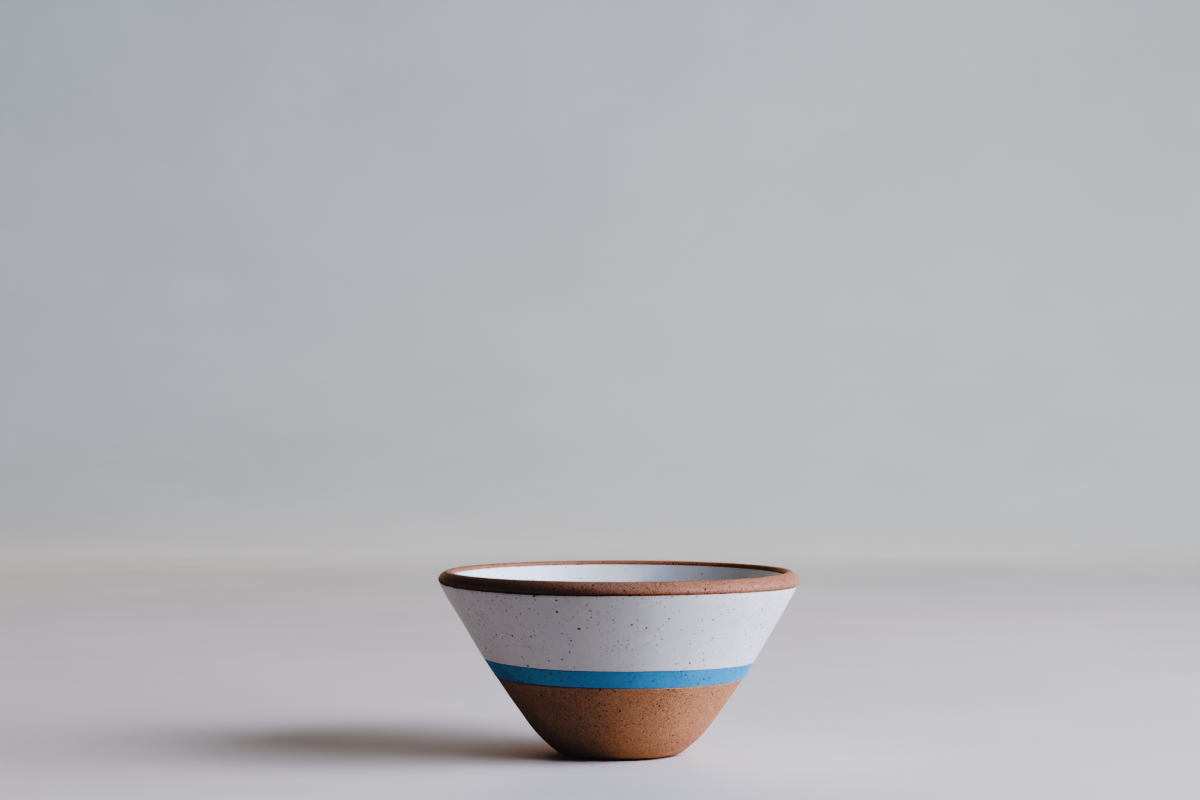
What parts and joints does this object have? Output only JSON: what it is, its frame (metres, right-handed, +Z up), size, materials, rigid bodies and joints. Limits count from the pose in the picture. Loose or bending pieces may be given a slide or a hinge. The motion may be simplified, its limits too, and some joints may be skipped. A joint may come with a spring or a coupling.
{
  "type": "dessert bowl",
  "caption": "Conical stoneware dessert bowl with a thick bare rounded lip, speckled white glaze and a blue band outside, a bare clay belly and a white glazed inside.",
  "frame": {"origin": "centre of the flat foot, on the surface that the bowl stands on", "axes": "+Z up along the axis that the bowl is turned about; it is round, so +X and +Y are free"},
  "size_m": [0.132, 0.132, 0.0672],
  "materials": {
    "bare_stoneware": "bare speckled red-brown stoneware, matte and finely sandy",
    "white_glaze": "satin white glaze with dark iron specks",
    "blue_glaze": "satin blue glaze with fine dark specks",
    "white_liner_glaze": "satin white liner glaze with sparse specks"
  },
  "bodies": {
    "root": {"clay_body": "bare_stoneware", "outer_white_glaze": "white_glaze", "blue_band": "blue_glaze", "inner_white_glaze": "white_liner_glaze"}
  },
  "joints": []
}
